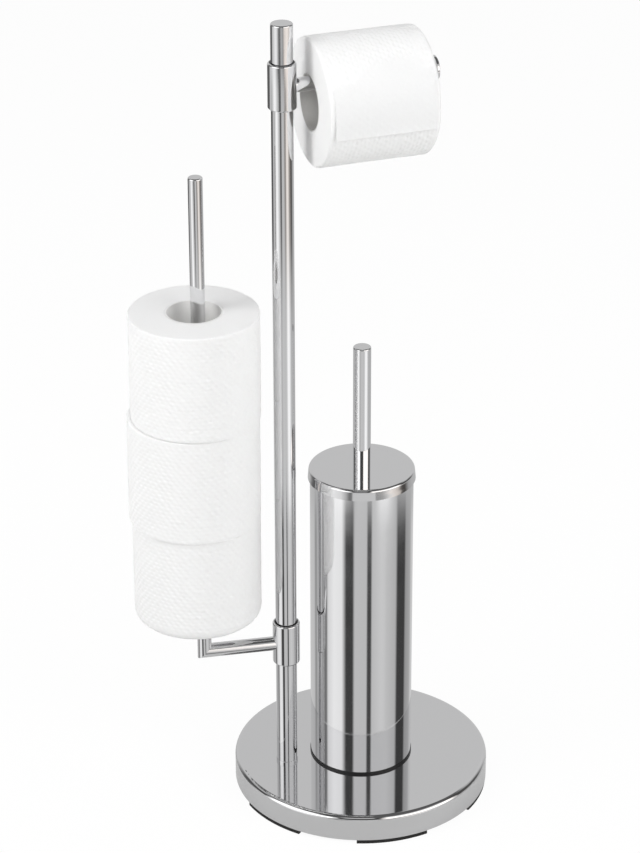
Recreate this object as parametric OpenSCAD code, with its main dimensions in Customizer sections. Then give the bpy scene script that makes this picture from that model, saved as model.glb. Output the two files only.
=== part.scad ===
// Toilet roll and brush stand: a weighted round plate carries a post with two
// turning arms, four paper rolls and a covered brush holder.
// Lengths are in millimetres, the floor is at zero height and +Z is up.

/* [Base plate] */
// Outer diameter of the polished plate
plate_d = 220; // [190:1:280]
// Height of the steel cover from its lower rim to its top
cover_h = 23; // [16:0.5:32]
// Thickness of the drawn steel cover
cover_wall = 1.5; // [1:0.1:2.2]
// Radius of the rounded edge round the top
cover_edge_r = 3.7; // [2.4:0.1:5]
// Width of the lip that is turned in under the cover
cover_lip_w = 5; // [3:0.5:8]
// Gap between the cover's wall and the iron weight inside it
weight_gap = 0.3; // [0.1:0.1:1]
// Radius of the iron weight's rounded upper edge
weight_edge_r = 2; // [1.6:0.1:4]

/* [Feet] */
// Height of the rubber feet
foot_h = 3.6; // [2:0.1:6]
// Width of a foot across its arc
foot_w = 11; // [6:0.5:16]
// Distance from the plate's rim to the feet
foot_inset = 0.5; // [0.5:0.5:6]
// Number of feet
foot_count = 6; // [3:1:8]
// Angle that each foot spans
foot_span = 33; // [15:1:40]
// Angle of the first foot's middle
foot_start = -92; // [-120:1:-60]

/* [Post] */
// Distance of the post from the plate's centre
post_offset = 67; // [64:0.5:80]
// Outer diameter of the post
post_d = 18; // [15:0.5:19]
// Wall of the post's tubes
post_wall = 1.2; // [0.8:0.1:1.6]
// Height of the post's top above the floor
post_top = 704; // [690:1:900]
// Height of the cap on the post
post_cap_h = 3; // [3:0.5:6]
// Radius of the rounded edge of the caps on the tubes
cap_edge_r = 1.2; // [0.5:0.1:1.4]
// Depth of the cap's plug in the tube
post_cap_plug = 12; // [6:1:25]
// Height of the thin ring at the post's foot
foot_ring_h = 2.4; // [1.6:0.1:5]
// Width of the thin ring at the post's foot
foot_ring_w = 0.4; // [0.4:0.1:1.6]
// Length of the plug that joins the two tubes
connector_len = 60; // [30:1:90]
// Length of the threaded insert in the post's foot
post_insert_len = 30; // [20:1:50]

/* [Post bolt] */
// Diameter of the bolt that holds the post
bolt_d = 8; // [6:0.5:9]
// Width of the bolt's head from corner to corner
bolt_head_d = 15; // [12:0.5:16]
// Height of the bolt's head
bolt_head_h = 5.3; // [4:0.1:6]
// Depth of the bolt's thread in the insert
bolt_grip = 20; // [12:1:25]
// Diameter of the bolt's washer
bolt_washer_d = 16; // [14:0.5:17]
// Thickness of the bolt's washer
bolt_washer_t = 1.6; // [1:0.1:2]
// Diameter of the recess for the bolt's head
bolt_pocket_d = 18.5; // [17.5:0.5:24]
// Depth of the recess for the bolt's head
bolt_pocket_depth = 8; // [7.8:0.1:10]

/* [Sleeves] */
// Outer diameter of the two sleeves on the post
sleeve_d = 23.2; // [22.4:0.1:28]
// Height of the two sleeves
sleeve_h = 38.5; // [30:0.5:55]
// How far the middle of each sleeve stands above its arm
sleeve_rise = 1.2; // [-3:0.1:3]
// Radius of the sleeves' rounded edges
sleeve_edge_r = 1.3; // [0.5:0.1:1.5]
// Wall of the black bushes in the sleeves
bush_wall = 1.1; // [0.8:0.1:1.2]
// Distance of each bush's ends inside its sleeve
bush_inset = 0.6; // [0.3:0.1:2]
// Diameter of the small screws that clamp the sleeves
set_screw_d = 4; // [3:0.5:5]
// Width of the hexagon socket in the small screws
set_socket_d = 2.3; // [1.6:0.1:2.6]
// Depth of the hexagon socket in the small screws
set_socket_depth = 1.2; // [0.6:0.1:1.6]

/* [Arms] */
// Outer diameter of the arms' tubes
rod_d = 12; // [10:0.5:14]
// Wall of the arms' tubes
rod_wall = 1.2; // [0.8:0.1:1.5]
// Height of the upper arm's axis
roll_arm_z = 651; // [640:1:656]
// Distance from the post's axis to the end disc
roll_arm_len = 127; // [122:1:150]
// Angle of the upper arm from the plate's centre line
roll_arm_turn = 3; // [-5:1:8]
// Diameter of the disc on the arm's end
end_disc_d = 21; // [16:0.5:30]
// Thickness of the disc on the arm's end
end_disc_t = 3; // [2:0.5:5]
// Radius of the end disc's rounded edge
end_disc_edge_r = 0.9; // [0.3:0.1:0.9]
// Length of the plugs in the arms' tubes
rod_plug = 12; // [6:1:20]
// Height of the lower arm's axis
spare_arm_z = 144.5; // [130:0.5:150]
// Distance from the post's axis to the spindle's axis
spare_arm_reach = 71; // [70:1:90]
// Angle of the lower arm from the plate's centre line
spare_arm_turn = 175.5; // [165:0.5:180]
// Height of the spindle's top
spindle_top = 580; // [560:1:581]
// Height of the spindle's cap
spindle_cap_h = 3; // [3:0.5:5]

/* [Roll plate] */
// Height of the plate's upper face, where the spare rolls stand
roll_plate_z = 183.7; // [180:0.1:190]
// Diameter of the plate under the spare rolls
roll_plate_d = 62; // [54:1:70]
// Thickness of the plate under the spare rolls
roll_plate_t = 2; // [1.5:0.1:4]
// Diameter of the hub under the plate
roll_hub_d = 17; // [15:0.5:22]
// Height of the hub under the plate
roll_hub_h = 9; // [5:0.5:12]

/* [Paper rolls] */
// Height of a paper roll
roll_h = 93; // [88:1:96]
// Diameter of the roll on the upper arm
roll_d = 106; // [95:1:108]
// Diameter of the top spare roll
spare_top_d = 108.5; // [100:0.5:112]
// Diameter of the middle spare roll
spare_middle_d = 110.5; // [100:0.5:112]
// Diameter of the bottom spare roll
spare_bottom_d = 108; // [100:0.5:110]
// Inner diameter of the cardboard cores
core_d = 45; // [44:0.5:50]
// Wall of the cardboard cores
core_wall = 0.8; // [0.5:0.1:1.2]
// Radius of the rolls' soft edges
roll_edge_r = 4; // [2:0.5:8]
// Distance from the post's axis to the middle of the upper roll
roll_mid = 69.2; // [66:0.1:72]
// Length of the loose sheet below the roll's axis
tail_len = 15; // [8:1:30]
// Width of the loose sheet
tail_w = 85; // [60:1:86]
// Thickness of the loose sheet
tail_t = 0.8; // [0.5:0.1:1.2]
// How far the top spare roll sits from the spindle, along the lower arm
spare_top_along = 3.5; // [0:0.5:6]
// How far the top spare roll sits from the spindle, to the front
spare_top_front = 2; // [0:0.5:8]
// How far the middle spare roll sits from the spindle, along the lower arm
spare_middle_along = 5.5; // [0:0.5:6]
// How far the middle spare roll sits from the spindle, to the front
spare_middle_front = 0; // [0:0.5:8]
// How far the bottom spare roll sits from the spindle, along the lower arm
spare_bottom_along = 4.5; // [-3:0.5:6]
// How far the bottom spare roll sits from the spindle, to the front
spare_bottom_front = -0.5; // [-5:0.5:5]

/* [Brush holder] */
// Outer diameter of the holder's steel sleeve
holder_d = 87.5; // [80:0.5:88]
// Wall of the holder's steel sleeve
holder_wall = 1; // [0.8:0.1:1.5]
// Height of the holder's rim above the floor
holder_top = 303; // [260:1:320]
// Thickness of the black disc under the holder
holder_pad_t = 2; // [1:0.1:3]
// How far the black disc stands out round the holder
holder_pad_lip = 0.4; // [0.2:0.1:1]
// Thickness of the holder's steel bottom
holder_bottom_t = 1.5; // [1:0.1:3]
// Wall of the plastic liner
liner_wall = 1.6; // [1.2:0.1:2.5]
// Gap between the liner and the steel sleeve
liner_gap = 0.45; // [0.2:0.05:1]
// Distance of the liner's rim below the holder's rim
liner_drop = 6; // [5.8:0.1:12]
// Height of the liner's floor above the steel bottom
liner_foot = 5.4; // [5:0.1:10]
// Thickness of the liner's floor
liner_floor_t = 2; // [1.5:0.1:4]
// Diameter of the screw that holds the holder
holder_screw_d = 6; // [5:0.5:6]
// Diameter of that screw's head
holder_screw_head_d = 10; // [9:0.5:13]
// Height of that screw's head
holder_screw_head_h = 3.3; // [2:0.1:3.6]
// Length of that screw below the holder's bottom
holder_screw_len = 16; // [12:1:18]

/* [Lid and handle] */
// Gap between the holder and the lid's skirt
lid_gap = 0.3; // [0.2:0.1:2]
// Height of the lid's skirt with its top
lid_h = 9.3; // [6:0.1:14]
// Wall of the lid
lid_wall = 0.8; // [0.8:0.1:1.2]
// How far the lid's skirt flares out towards its lower edge
lid_flare = 0.65; // [0:0.05:1]
// Radius of the lid's rounded edge
lid_edge_r = 2.2; // [1:0.1:3]
// Height of the ring that centres the lid in the liner
lid_guide_h = 5; // [3:0.5:5]
// Gap between that ring and the liner
lid_guide_gap = 0.8; // [0.5:0.1:2]
// Outer diameter of the handle
handle_d = 15; // [13:0.1:20]
// Wall of the handle's tube
handle_wall = 1; // [0.8:0.1:1.5]
// Height of the handle above the lid
handle_len = 111.5; // [80:0.5:130]
// Height of the cap on the handle
handle_cap_h = 3; // [3:0.5:5]
// Length of the threaded insert in the handle
handle_insert_len = 25; // [15:1:40]

/* [Brush] */
// Diameter of the brush's stem
stem_d = 9; // [8:0.5:11]
// Diameter of the thread on the stem's top
stem_thread_d = 6; // [5:0.5:6]
// Length of the thread on the stem's top
stem_thread_len = 17; // [10:1:20]
// Diameter of the brush's core
brush_core_d = 18; // [14:0.5:24]
// Length of the brush's core
brush_core_len = 74; // [50:1:100]
// Height of the brush's lower end above the liner's floor
brush_clear = 5; // [3:0.5:15]
// Diameter of the bristles
bristle_d = 72; // [50:1:74]
// Number of bristle rows
bristle_rows = 10; // [6:1:14]
// Depth of the grooves between the bristle rows
bristle_groove = 4; // [1:0.5:8]
// Depth of the stem in the brush's core
stem_grip = 40; // [20:1:45]

/* [Underside screws] */
// Number of screws that hold the plate's underside
under_screw_count = 3; // [3:1:6]
// Distance of these screws from the plate's centre
under_screw_ring = 38; // [30:1:45]
// Diameter of these screws
under_screw_d = 3.5; // [3:0.5:5]
// Diameter of these screws' heads
under_screw_head_d = 7; // [6:0.5:9]
// Height of these screws' heads
under_screw_head_h = 1.2; // [0.8:0.1:1.6]
// Depth of these screws in the weight
under_screw_grip = 8; // [5:0.5:10]

/* [Hidden] */
$fn = 96;

// Clearances
fit = 0.05;       // radial gap of pieces that sit in one another
seat = 0.02;      // gap at a welded saddle
rest_gap = 0.3;   // gap where a loose piece lies on its seat
hole_gap = 0.25;  // radial gap of a bolt in a plate
overrun = 1;      // how far a cut runs past a face
small_edge_r = 0.7; // rounded edge of the roll plate and of the holder's screw head

// Heights and radii that follow from the sizes above
plate_r = plate_d / 2;
base_top = foot_h + cover_h;
cover_lip_r = plate_r - cover_lip_w;
weight_r = plate_r - cover_wall - weight_gap;
weight_z = foot_h + cover_wall;
weight_h = base_top - cover_wall - fit - weight_z;
post_r = post_d / 2;
post_bore_r = post_r - post_wall;
plug_r = post_bore_r - fit;
bolt_pocket_top = weight_z + bolt_pocket_depth;
bush_bore_r = post_r + fit;
bush_r = bush_bore_r + bush_wall;
sleeve_bore_r = bush_r + fit;
sleeve_r = sleeve_d / 2;
rod_r = rod_d / 2;
rod_bore_r = rod_r - rod_wall;
rod_plug_r = rod_bore_r - fit;
core_r = core_d / 2;
paper_bore_r = core_r + core_wall;
roll_drop = core_r - rod_r - rest_gap;
spare_z0 = roll_plate_z + rest_gap;
spare_z1 = spare_z0 + roll_h + rest_gap;
spare_z2 = spare_z1 + roll_h + rest_gap;
holder_r = holder_d / 2;
holder_z = base_top + holder_pad_t;
holder_bore_r = holder_r - holder_wall;
holder_floor = holder_z + holder_bottom_t;
liner_r = holder_bore_r - liner_gap;
liner_bore_r = liner_r - liner_wall;
liner_top = holder_top - liner_drop;
liner_floor = holder_floor + liner_foot;
brush_z = liner_floor + liner_floor_t + brush_clear;
lid_under = holder_top + rest_gap;
lid_top = lid_under + lid_wall;
lid_r = holder_r + lid_gap + lid_wall;
handle_r = handle_d / 2;
handle_plug_r = handle_r - handle_wall - fit;
handle_top = lid_top + handle_len;

// The frame's origin is under the middle of the whole stand, whose left end is a spare roll
spare_lean = 180 - spare_arm_turn;
function roll_left(d, along, front) =
    (spare_arm_reach + along) * cos(spare_lean) + front * sin(spare_lean) + d / 2;
left_reach = post_offset + max(roll_left(spare_top_d, spare_top_along, spare_top_front),
    roll_left(spare_middle_d, spare_middle_along, spare_middle_front),
    roll_left(spare_bottom_d, spare_bottom_along, spare_bottom_front));
plate_x = (left_reach - plate_r) / 2;
post_x = plate_x - post_offset;

module round_edge(r, z, edge_r) {
    translate([0, 0, z]) rotate_extrude() translate([r - edge_r, 0]) circle(r = edge_r);
}

// A disc whose upper edge is rounded
module soft_disc(r, h, edge_r) {
    cylinder(r = r, h = h - edge_r);
    cylinder(r = r - edge_r, h = h);
    round_edge(r, h - edge_r, edge_r);
}

// A drum whose upper and lower edges are rounded
module soft_drum(r, h, edge_r) {
    translate([0, 0, edge_r]) cylinder(r = r, h = h - 2 * edge_r);
    cylinder(r = r - edge_r, h = h);
    round_edge(r, h - edge_r, edge_r);
    round_edge(r, edge_r, edge_r);
}

module tube(r_out, r_in, h) {
    difference() {
        cylinder(r = r_out, h = h);
        translate([0, 0, -overrun]) cylinder(r = r_in, h = h + 2 * overrun);
    }
}

module at_plate() {
    translate([plate_x, 0, 0]) children();
}

module at_post() {
    translate([post_x, 0, 0]) children();
}

// The upper arm's frame: X runs along the arm from the post's axis
module at_roll_arm() {
    at_post() translate([0, 0, roll_arm_z]) rotate([0, 0, roll_arm_turn]) children();
}

// The lower arm's frame: X runs along the arm from the post's axis
module at_spare_arm() {
    at_post() translate([0, 0, spare_arm_z]) rotate([0, 0, spare_arm_turn]) children();
}

// Holes for the bolt of the post and the screw of the holder
module plate_holes(z, h, post_hole_r, holder_hole_r) {
    at_post() translate([0, 0, z - overrun]) cylinder(r = post_hole_r, h = h + 2 * overrun);
    at_plate() translate([0, 0, z - overrun]) cylinder(r = holder_hole_r, h = h + 2 * overrun);
}

module under_screw_places() {
    for (i = [0 : under_screw_count - 1])
        at_plate() rotate([0, 0, 90 + i * 360 / under_screw_count])
            translate([under_screw_ring, 0, 0]) children();
}

module base_cover() {
    color("silver") difference() {
        at_plate() translate([0, 0, foot_h]) difference() {
            soft_disc(plate_r, cover_h, cover_edge_r);
            translate([0, 0, cover_wall])
                soft_disc(plate_r - cover_wall, cover_h - 2 * cover_wall, cover_edge_r - cover_wall);
            translate([0, 0, -overrun]) cylinder(r = cover_lip_r, h = cover_wall + 2 * overrun);
        }
        plate_holes(base_top - cover_wall, cover_wall, bolt_d / 2 + hole_gap, holder_screw_d / 2 + hole_gap);
    }
}

module base_weight() {
    color("dimgray") difference() {
        at_plate() translate([0, 0, weight_z]) soft_disc(weight_r, weight_h, weight_edge_r);
        plate_holes(weight_z, weight_h, bolt_d / 2 + hole_gap, holder_screw_d / 2 + fit);
        at_post() translate([0, 0, weight_z - overrun])
            cylinder(r = bolt_pocket_d / 2, h = bolt_pocket_depth + overrun);
        under_screw_places() translate([0, 0, weight_z - overrun])
            cylinder(r = under_screw_d / 2 + fit, h = under_screw_grip + 2 * overrun);
    }
}

module base_underplate() {
    color("black") difference() {
        at_plate() translate([0, 0, foot_h]) cylinder(r = cover_lip_r - rest_gap, h = cover_wall);
        under_screw_places() translate([0, 0, foot_h - overrun])
            cylinder(r = under_screw_d / 2 + hole_gap, h = cover_wall + 2 * overrun);
    }
}

module underplate_screws() {
    color("darkgray") under_screw_places() {
        translate([0, 0, foot_h]) cylinder(r = under_screw_d / 2, h = cover_wall + under_screw_grip);
        translate([0, 0, foot_h - under_screw_head_h])
            cylinder(r = under_screw_head_d / 2, h = under_screw_head_h);
    }
}

// One wedge of a ring, from the centre out past the plate's rim
module wedge(span, h) {
    linear_extrude(height = h) polygon([
        [0, 0],
        [plate_d * cos(span / 2), -plate_d * sin(span / 2)],
        [plate_d * cos(span / 2), plate_d * sin(span / 2)]
    ]);
}

module foot_pads() {
    color("black") at_plate() for (i = [0 : foot_count - 1])
        rotate([0, 0, foot_start + i * 360 / foot_count]) intersection() {
            tube(plate_r - foot_inset, plate_r - foot_inset - foot_w, foot_h);
            wedge(foot_span, foot_h);
        }
}

module post_bolt() {
    color("darkgray") at_post() {
        translate([0, 0, bolt_pocket_top - bolt_washer_t - bolt_head_h])
            cylinder(r = bolt_head_d / 2, h = bolt_head_h, $fn = 6);
        translate([0, 0, bolt_pocket_top - bolt_washer_t])
            cylinder(r = bolt_d / 2, h = base_top + bolt_grip - bolt_pocket_top + bolt_washer_t);
    }
}

module post_bolt_washer() {
    color("lightgray") at_post() translate([0, 0, bolt_pocket_top - bolt_washer_t])
        tube(bolt_washer_d / 2, bolt_d / 2 + hole_gap, bolt_washer_t);
}

module post_base_insert() {
    color("goldenrod") at_post() translate([0, 0, base_top]) difference() {
        cylinder(r = plug_r, h = post_insert_len);
        translate([0, 0, -overrun]) cylinder(r = bolt_d / 2 + fit, h = bolt_grip + 2 * overrun);
    }
}

module post_foot_ring() {
    color("silver") at_post() translate([0, 0, base_top]) difference() {
        soft_disc(post_r + fit + foot_ring_w, foot_ring_h, foot_ring_w / 2);
        translate([0, 0, -overrun]) cylinder(r = post_r + fit, h = foot_ring_h + 2 * overrun);
    }
}

module post_lower_tube() {
    color("silver") at_post() translate([0, 0, base_top])
        tube(post_r, post_bore_r, spare_arm_z - base_top);
}

module post_connector() {
    color("gray") at_post() translate([0, 0, spare_arm_z - connector_len / 2])
        cylinder(r = plug_r, h = connector_len);
}

module post_upper_tube() {
    color("silver") at_post() translate([0, 0, spare_arm_z])
        tube(post_r, post_bore_r, post_top - post_cap_h - spare_arm_z);
}

module post_cap() {
    color("silver") at_post() translate([0, 0, post_top - post_cap_h]) {
        soft_disc(post_r, post_cap_h, cap_edge_r);
        translate([0, 0, -post_cap_plug]) cylinder(r = plug_r, h = post_cap_plug);
    }
}

// The radial hole of a clamping screw, on the side away from the front
module set_screw_hole(side) {
    rotate([0, 0, side]) rotate([0, 90, 0]) cylinder(r = set_screw_d / 2 + fit, h = sleeve_d);
}

module sleeve(side) {
    difference() {
        translate([0, 0, sleeve_rise - sleeve_h / 2]) difference() {
            soft_drum(sleeve_r, sleeve_h, sleeve_edge_r);
            translate([0, 0, -overrun]) cylinder(r = sleeve_bore_r, h = sleeve_h + 2 * overrun);
        }
        set_screw_hole(side);
    }
}

module bush(side) {
    difference() {
        translate([0, 0, sleeve_rise - sleeve_h / 2 + bush_inset])
            tube(bush_r, bush_bore_r, sleeve_h - 2 * bush_inset);
        set_screw_hole(side);
    }
}

module set_screw(side) {
    rotate([0, 0, side]) rotate([0, 90, 0]) difference() {
        translate([0, 0, bush_bore_r]) cylinder(r = set_screw_d / 2, h = sleeve_r - bush_bore_r - seat);
        translate([0, 0, sleeve_r - set_socket_depth])
            cylinder(r = set_socket_d / 2, h = set_socket_depth + overrun, $fn = 6);
    }
}

module upper_sleeve() {
    color("silver") at_roll_arm() sleeve(90);
}

module upper_bush() {
    color("black") at_roll_arm() bush(90);
}

module upper_set_screw() {
    color("darkgray") at_roll_arm() set_screw(90);
}

// A tube along X whose near end is cut as a saddle to sit on the sleeve
module saddle_tube(len) {
    difference() {
        rotate([0, 90, 0]) tube(rod_r, rod_bore_r, len);
        translate([0, 0, -sleeve_h / 2]) cylinder(r = sleeve_r + seat, h = sleeve_h);
    }
}

module roll_arm_rod() {
    color("silver") at_roll_arm() saddle_tube(roll_arm_len);
}

module roll_arm_end_disc() {
    color("silver") at_roll_arm() translate([roll_arm_len, 0, 0]) rotate([0, 90, 0]) {
        soft_drum(end_disc_d / 2, end_disc_t, end_disc_edge_r);
        translate([0, 0, -rod_plug]) cylinder(r = rod_plug_r, h = rod_plug);
    }
}

// The paper of one roll, standing on its end
module paper(d) {
    difference() {
        soft_drum(d / 2, roll_h, roll_edge_r);
        translate([0, 0, -overrun]) cylinder(r = paper_bore_r, h = roll_h + 2 * overrun);
    }
}

// The cardboard tube of one roll, standing on its end
module core() {
    tube(paper_bore_r - seat, core_r, roll_h);
}

// The frame of the hanging roll: Z runs along the roll
module at_hanging_roll() {
    at_roll_arm() translate([roll_mid - roll_h / 2, 0, -roll_drop]) rotate([0, 90, 0]) children();
}

module paper_roll() {
    color("white") {
        at_hanging_roll() paper(roll_d);
        at_roll_arm() translate([roll_mid - tail_w / 2, -roll_d / 2, -roll_drop - tail_len])
            cube([tail_w, tail_t, tail_len]);
    }
}

module paper_roll_core() {
    color("tan") at_hanging_roll() core();
}

module lower_sleeve() {
    color("silver") at_spare_arm() sleeve(-90);
}

module lower_bush() {
    color("black") at_spare_arm() bush(-90);
}

module lower_set_screw() {
    color("darkgray") at_spare_arm() set_screw(-90);
}

// Half of the space on one side of the corner's mitre, above it or below it
module mitre_side(above) {
    block = 2 * spindle_top;
    translate([spare_arm_reach, 0, 0]) rotate([0, 45, 0])
        translate([-block / 2, -block / 2, above ? 0 : -block]) cube(block);
}

module spare_arm_rod() {
    color("silver") at_spare_arm() difference() {
        saddle_tube(spare_arm_reach + rod_d);
        mitre_side(true);
    }
}

module spare_spindle() {
    color("silver") at_spare_arm() difference() {
        translate([spare_arm_reach, 0, -rod_d])
            tube(rod_r, rod_bore_r, spindle_top - spindle_cap_h - spare_arm_z + rod_d);
        mitre_side(false);
    }
}

module spindle_cap() {
    color("silver") at_spare_arm()
        translate([spare_arm_reach, 0, spindle_top - spindle_cap_h - spare_arm_z]) {
            soft_disc(rod_r, spindle_cap_h, cap_edge_r);
            translate([0, 0, -rod_plug]) cylinder(r = rod_plug_r, h = rod_plug);
        }
}

module roll_plate() {
    color("silver") at_spare_arm()
        translate([spare_arm_reach, 0, roll_plate_z - spare_arm_z]) difference() {
            union() {
                translate([0, 0, -roll_plate_t])
                    soft_drum(roll_plate_d / 2, roll_plate_t, small_edge_r);
                translate([0, 0, -roll_plate_t - roll_hub_h])
                    cylinder(r = roll_hub_d / 2, h = roll_hub_h);
            }
            translate([0, 0, -roll_plate_t - roll_hub_h - overrun])
                cylinder(r = rod_r + seat, h = roll_plate_t + roll_hub_h + 2 * overrun);
        }
}

// The frame of a spare roll that lies a little off the spindle's axis
module at_spare_roll(z, along, front) {
    at_spare_arm() translate([spare_arm_reach + along, front, z - spare_arm_z]) children();
}

module spare_roll_top() {
    color("white") at_spare_roll(spare_z2, spare_top_along, spare_top_front) paper(spare_top_d);
}

module spare_core_top() {
    color("tan") at_spare_roll(spare_z2, spare_top_along, spare_top_front) core();
}

module spare_roll_middle() {
    color("white") at_spare_roll(spare_z1, spare_middle_along, spare_middle_front) paper(spare_middle_d);
}

module spare_core_middle() {
    color("tan") at_spare_roll(spare_z1, spare_middle_along, spare_middle_front) core();
}

module spare_roll_bottom() {
    color("white") at_spare_roll(spare_z0, spare_bottom_along, spare_bottom_front) paper(spare_bottom_d);
}

module spare_core_bottom() {
    color("tan") at_spare_roll(spare_z0, spare_bottom_along, spare_bottom_front) core();
}

module holder_pad() {
    color("black") at_plate() translate([0, 0, base_top])
        tube(holder_r + holder_pad_lip, holder_screw_d / 2 + hole_gap, holder_pad_t);
}

module holder_bottom() {
    color("silver") at_plate() translate([0, 0, holder_z])
        tube(holder_bore_r - seat, holder_screw_d / 2 + hole_gap, holder_bottom_t);
}

module holder_sleeve() {
    color("silver") at_plate() translate([0, 0, holder_z])
        tube(holder_r, holder_bore_r, holder_top - holder_z);
}

module holder_liner() {
    color("whitesmoke") at_plate() difference() {
        translate([0, 0, holder_floor]) cylinder(r = liner_r, h = liner_top - holder_floor);
        translate([0, 0, liner_floor + liner_floor_t])
            cylinder(r = liner_bore_r, h = liner_top - liner_floor);
        translate([0, 0, holder_floor - overrun]) cylinder(r = liner_bore_r, h = liner_foot + overrun);
    }
}

module holder_screw() {
    color("darkgray") at_plate() {
        translate([0, 0, holder_floor - holder_screw_len])
            cylinder(r = holder_screw_d / 2, h = holder_screw_len);
        translate([0, 0, holder_floor]) soft_disc(holder_screw_head_d / 2, holder_screw_head_h, small_edge_r);
    }
}

module lid() {
    color("silver") at_plate() translate([0, 0, lid_top - lid_h]) difference() {
        union() {
            soft_disc(lid_r, lid_h, lid_edge_r);
            cylinder(r1 = lid_r + lid_flare, r2 = lid_r, h = lid_h - lid_edge_r);
        }
        translate([0, 0, -overrun]) cylinder(r = lid_r - lid_wall, h = lid_h - lid_wall + overrun);
        cylinder(r = stem_thread_d / 2 + hole_gap, h = lid_h + overrun);
    }
}

module lid_guide() {
    color("whitesmoke") at_plate() translate([0, 0, lid_under - lid_guide_h])
        tube(liner_bore_r - lid_guide_gap, stem_d / 2 + fit, lid_guide_h);
}

module handle_tube() {
    color("silver") at_plate() translate([0, 0, lid_top])
        tube(handle_r, handle_r - handle_wall, handle_len - handle_cap_h);
}

module handle_insert() {
    color("gray") at_plate() translate([0, 0, lid_top]) difference() {
        cylinder(r = handle_plug_r, h = handle_insert_len);
        translate([0, 0, -overrun]) cylinder(r = stem_thread_d / 2 + fit, h = stem_thread_len + 2 * overrun);
    }
}

module handle_cap() {
    color("silver") at_plate() translate([0, 0, handle_top - handle_cap_h]) {
        soft_disc(handle_r, handle_cap_h, cap_edge_r);
        translate([0, 0, -rod_plug]) cylinder(r = handle_plug_r, h = rod_plug);
    }
}

module brush_stem() {
    foot = brush_z + brush_core_len - stem_grip;
    color("whitesmoke") at_plate() {
        translate([0, 0, foot]) cylinder(r = stem_d / 2, h = lid_under - foot);
        translate([0, 0, lid_under]) cylinder(r = stem_thread_d / 2, h = lid_wall + stem_thread_len);
    }
}

module brush_core() {
    color("white") at_plate() translate([0, 0, brush_z]) difference() {
        soft_drum(brush_core_d / 2, brush_core_len, brush_core_d / 6);
        translate([0, 0, brush_core_len - stem_grip])
            cylinder(r = stem_d / 2 + fit, h = stem_grip + overrun);
    }
}

// Half height of one bristle row, and the profile of all rows round the core
bristle_len = brush_core_len - brush_core_d / 3;
row_h = bristle_len / bristle_rows;
bristle_shares = [0.62, 0.84, 0.95, 1];
function row_r(i) = bristle_d / 2 * bristle_shares[min(i, bristle_rows - 1 - i, 3)];
bristle_profile = concat(
    [[brush_core_d / 2 + seat, 0]],
    [for (i = [0 : bristle_rows - 1]) each [
        [row_r(i) - bristle_groove, i * row_h],
        [row_r(i), (i + 1 / 3) * row_h],
        [row_r(i), (i + 2 / 3) * row_h],
        [row_r(i) - bristle_groove, (i + 1) * row_h]
    ]],
    [[brush_core_d / 2 + seat, bristle_len]]
);

module brush_bristles() {
    color("white") at_plate() translate([0, 0, brush_z + brush_core_d / 6])
        rotate_extrude() polygon(bristle_profile);
}

base_cover();
base_weight();
base_underplate();
foot_pads();
underplate_screws();
post_bolt();
post_bolt_washer();
post_base_insert();
post_foot_ring();
post_lower_tube();
post_connector();
post_upper_tube();
post_cap();
upper_sleeve();
upper_bush();
upper_set_screw();
roll_arm_rod();
roll_arm_end_disc();
paper_roll();
paper_roll_core();
lower_sleeve();
lower_bush();
lower_set_screw();
spare_arm_rod();
spare_spindle();
spindle_cap();
roll_plate();
spare_roll_top();
spare_core_top();
spare_roll_middle();
spare_core_middle();
spare_roll_bottom();
spare_core_bottom();
holder_pad();
holder_bottom();
holder_sleeve();
holder_liner();
holder_screw();
lid();
lid_guide();
handle_tube();
handle_insert();
handle_cap();
brush_stem();
brush_core();
brush_bristles();
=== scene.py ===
import math
import random

import bmesh
import bpy
import numpy as np
from mathutils import Matrix, Vector


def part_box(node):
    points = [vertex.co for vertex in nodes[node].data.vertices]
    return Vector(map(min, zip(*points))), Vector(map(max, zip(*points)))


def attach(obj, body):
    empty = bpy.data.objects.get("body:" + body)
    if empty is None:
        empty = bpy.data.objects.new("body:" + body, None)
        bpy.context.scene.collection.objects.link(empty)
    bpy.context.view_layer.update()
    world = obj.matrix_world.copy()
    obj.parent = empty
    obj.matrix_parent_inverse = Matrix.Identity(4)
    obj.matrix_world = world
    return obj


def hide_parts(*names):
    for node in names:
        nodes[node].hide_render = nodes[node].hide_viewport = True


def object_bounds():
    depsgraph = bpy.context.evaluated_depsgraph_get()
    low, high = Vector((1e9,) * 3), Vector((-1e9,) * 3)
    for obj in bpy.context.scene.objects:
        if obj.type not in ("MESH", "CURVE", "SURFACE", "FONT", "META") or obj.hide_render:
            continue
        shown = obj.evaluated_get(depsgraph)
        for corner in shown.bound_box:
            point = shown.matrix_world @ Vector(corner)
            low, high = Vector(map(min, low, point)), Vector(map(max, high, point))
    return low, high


# Toilet roll and brush stand: polished stainless tube and plate, four embossed paper rolls and a lidded
# brush holder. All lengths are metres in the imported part's own frame.

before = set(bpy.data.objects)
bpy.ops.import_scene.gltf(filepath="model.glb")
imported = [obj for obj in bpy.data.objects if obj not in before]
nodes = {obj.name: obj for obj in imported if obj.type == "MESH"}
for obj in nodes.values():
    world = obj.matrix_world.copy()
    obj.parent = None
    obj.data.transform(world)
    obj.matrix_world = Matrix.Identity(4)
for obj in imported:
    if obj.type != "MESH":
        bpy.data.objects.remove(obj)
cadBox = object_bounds()
scene = bpy.context.scene
scene.view_settings.view_transform = "Standard"


def toLinear(hexColour):
    parts = [int(hexColour[i:i + 2], 16) / 255 for i in (1, 3, 5)]
    parts = [c / 12.92 if c <= 0.04045 else ((c + 0.055) / 1.055) ** 2.4 for c in parts]
    return (*parts, 1.0)


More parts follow.
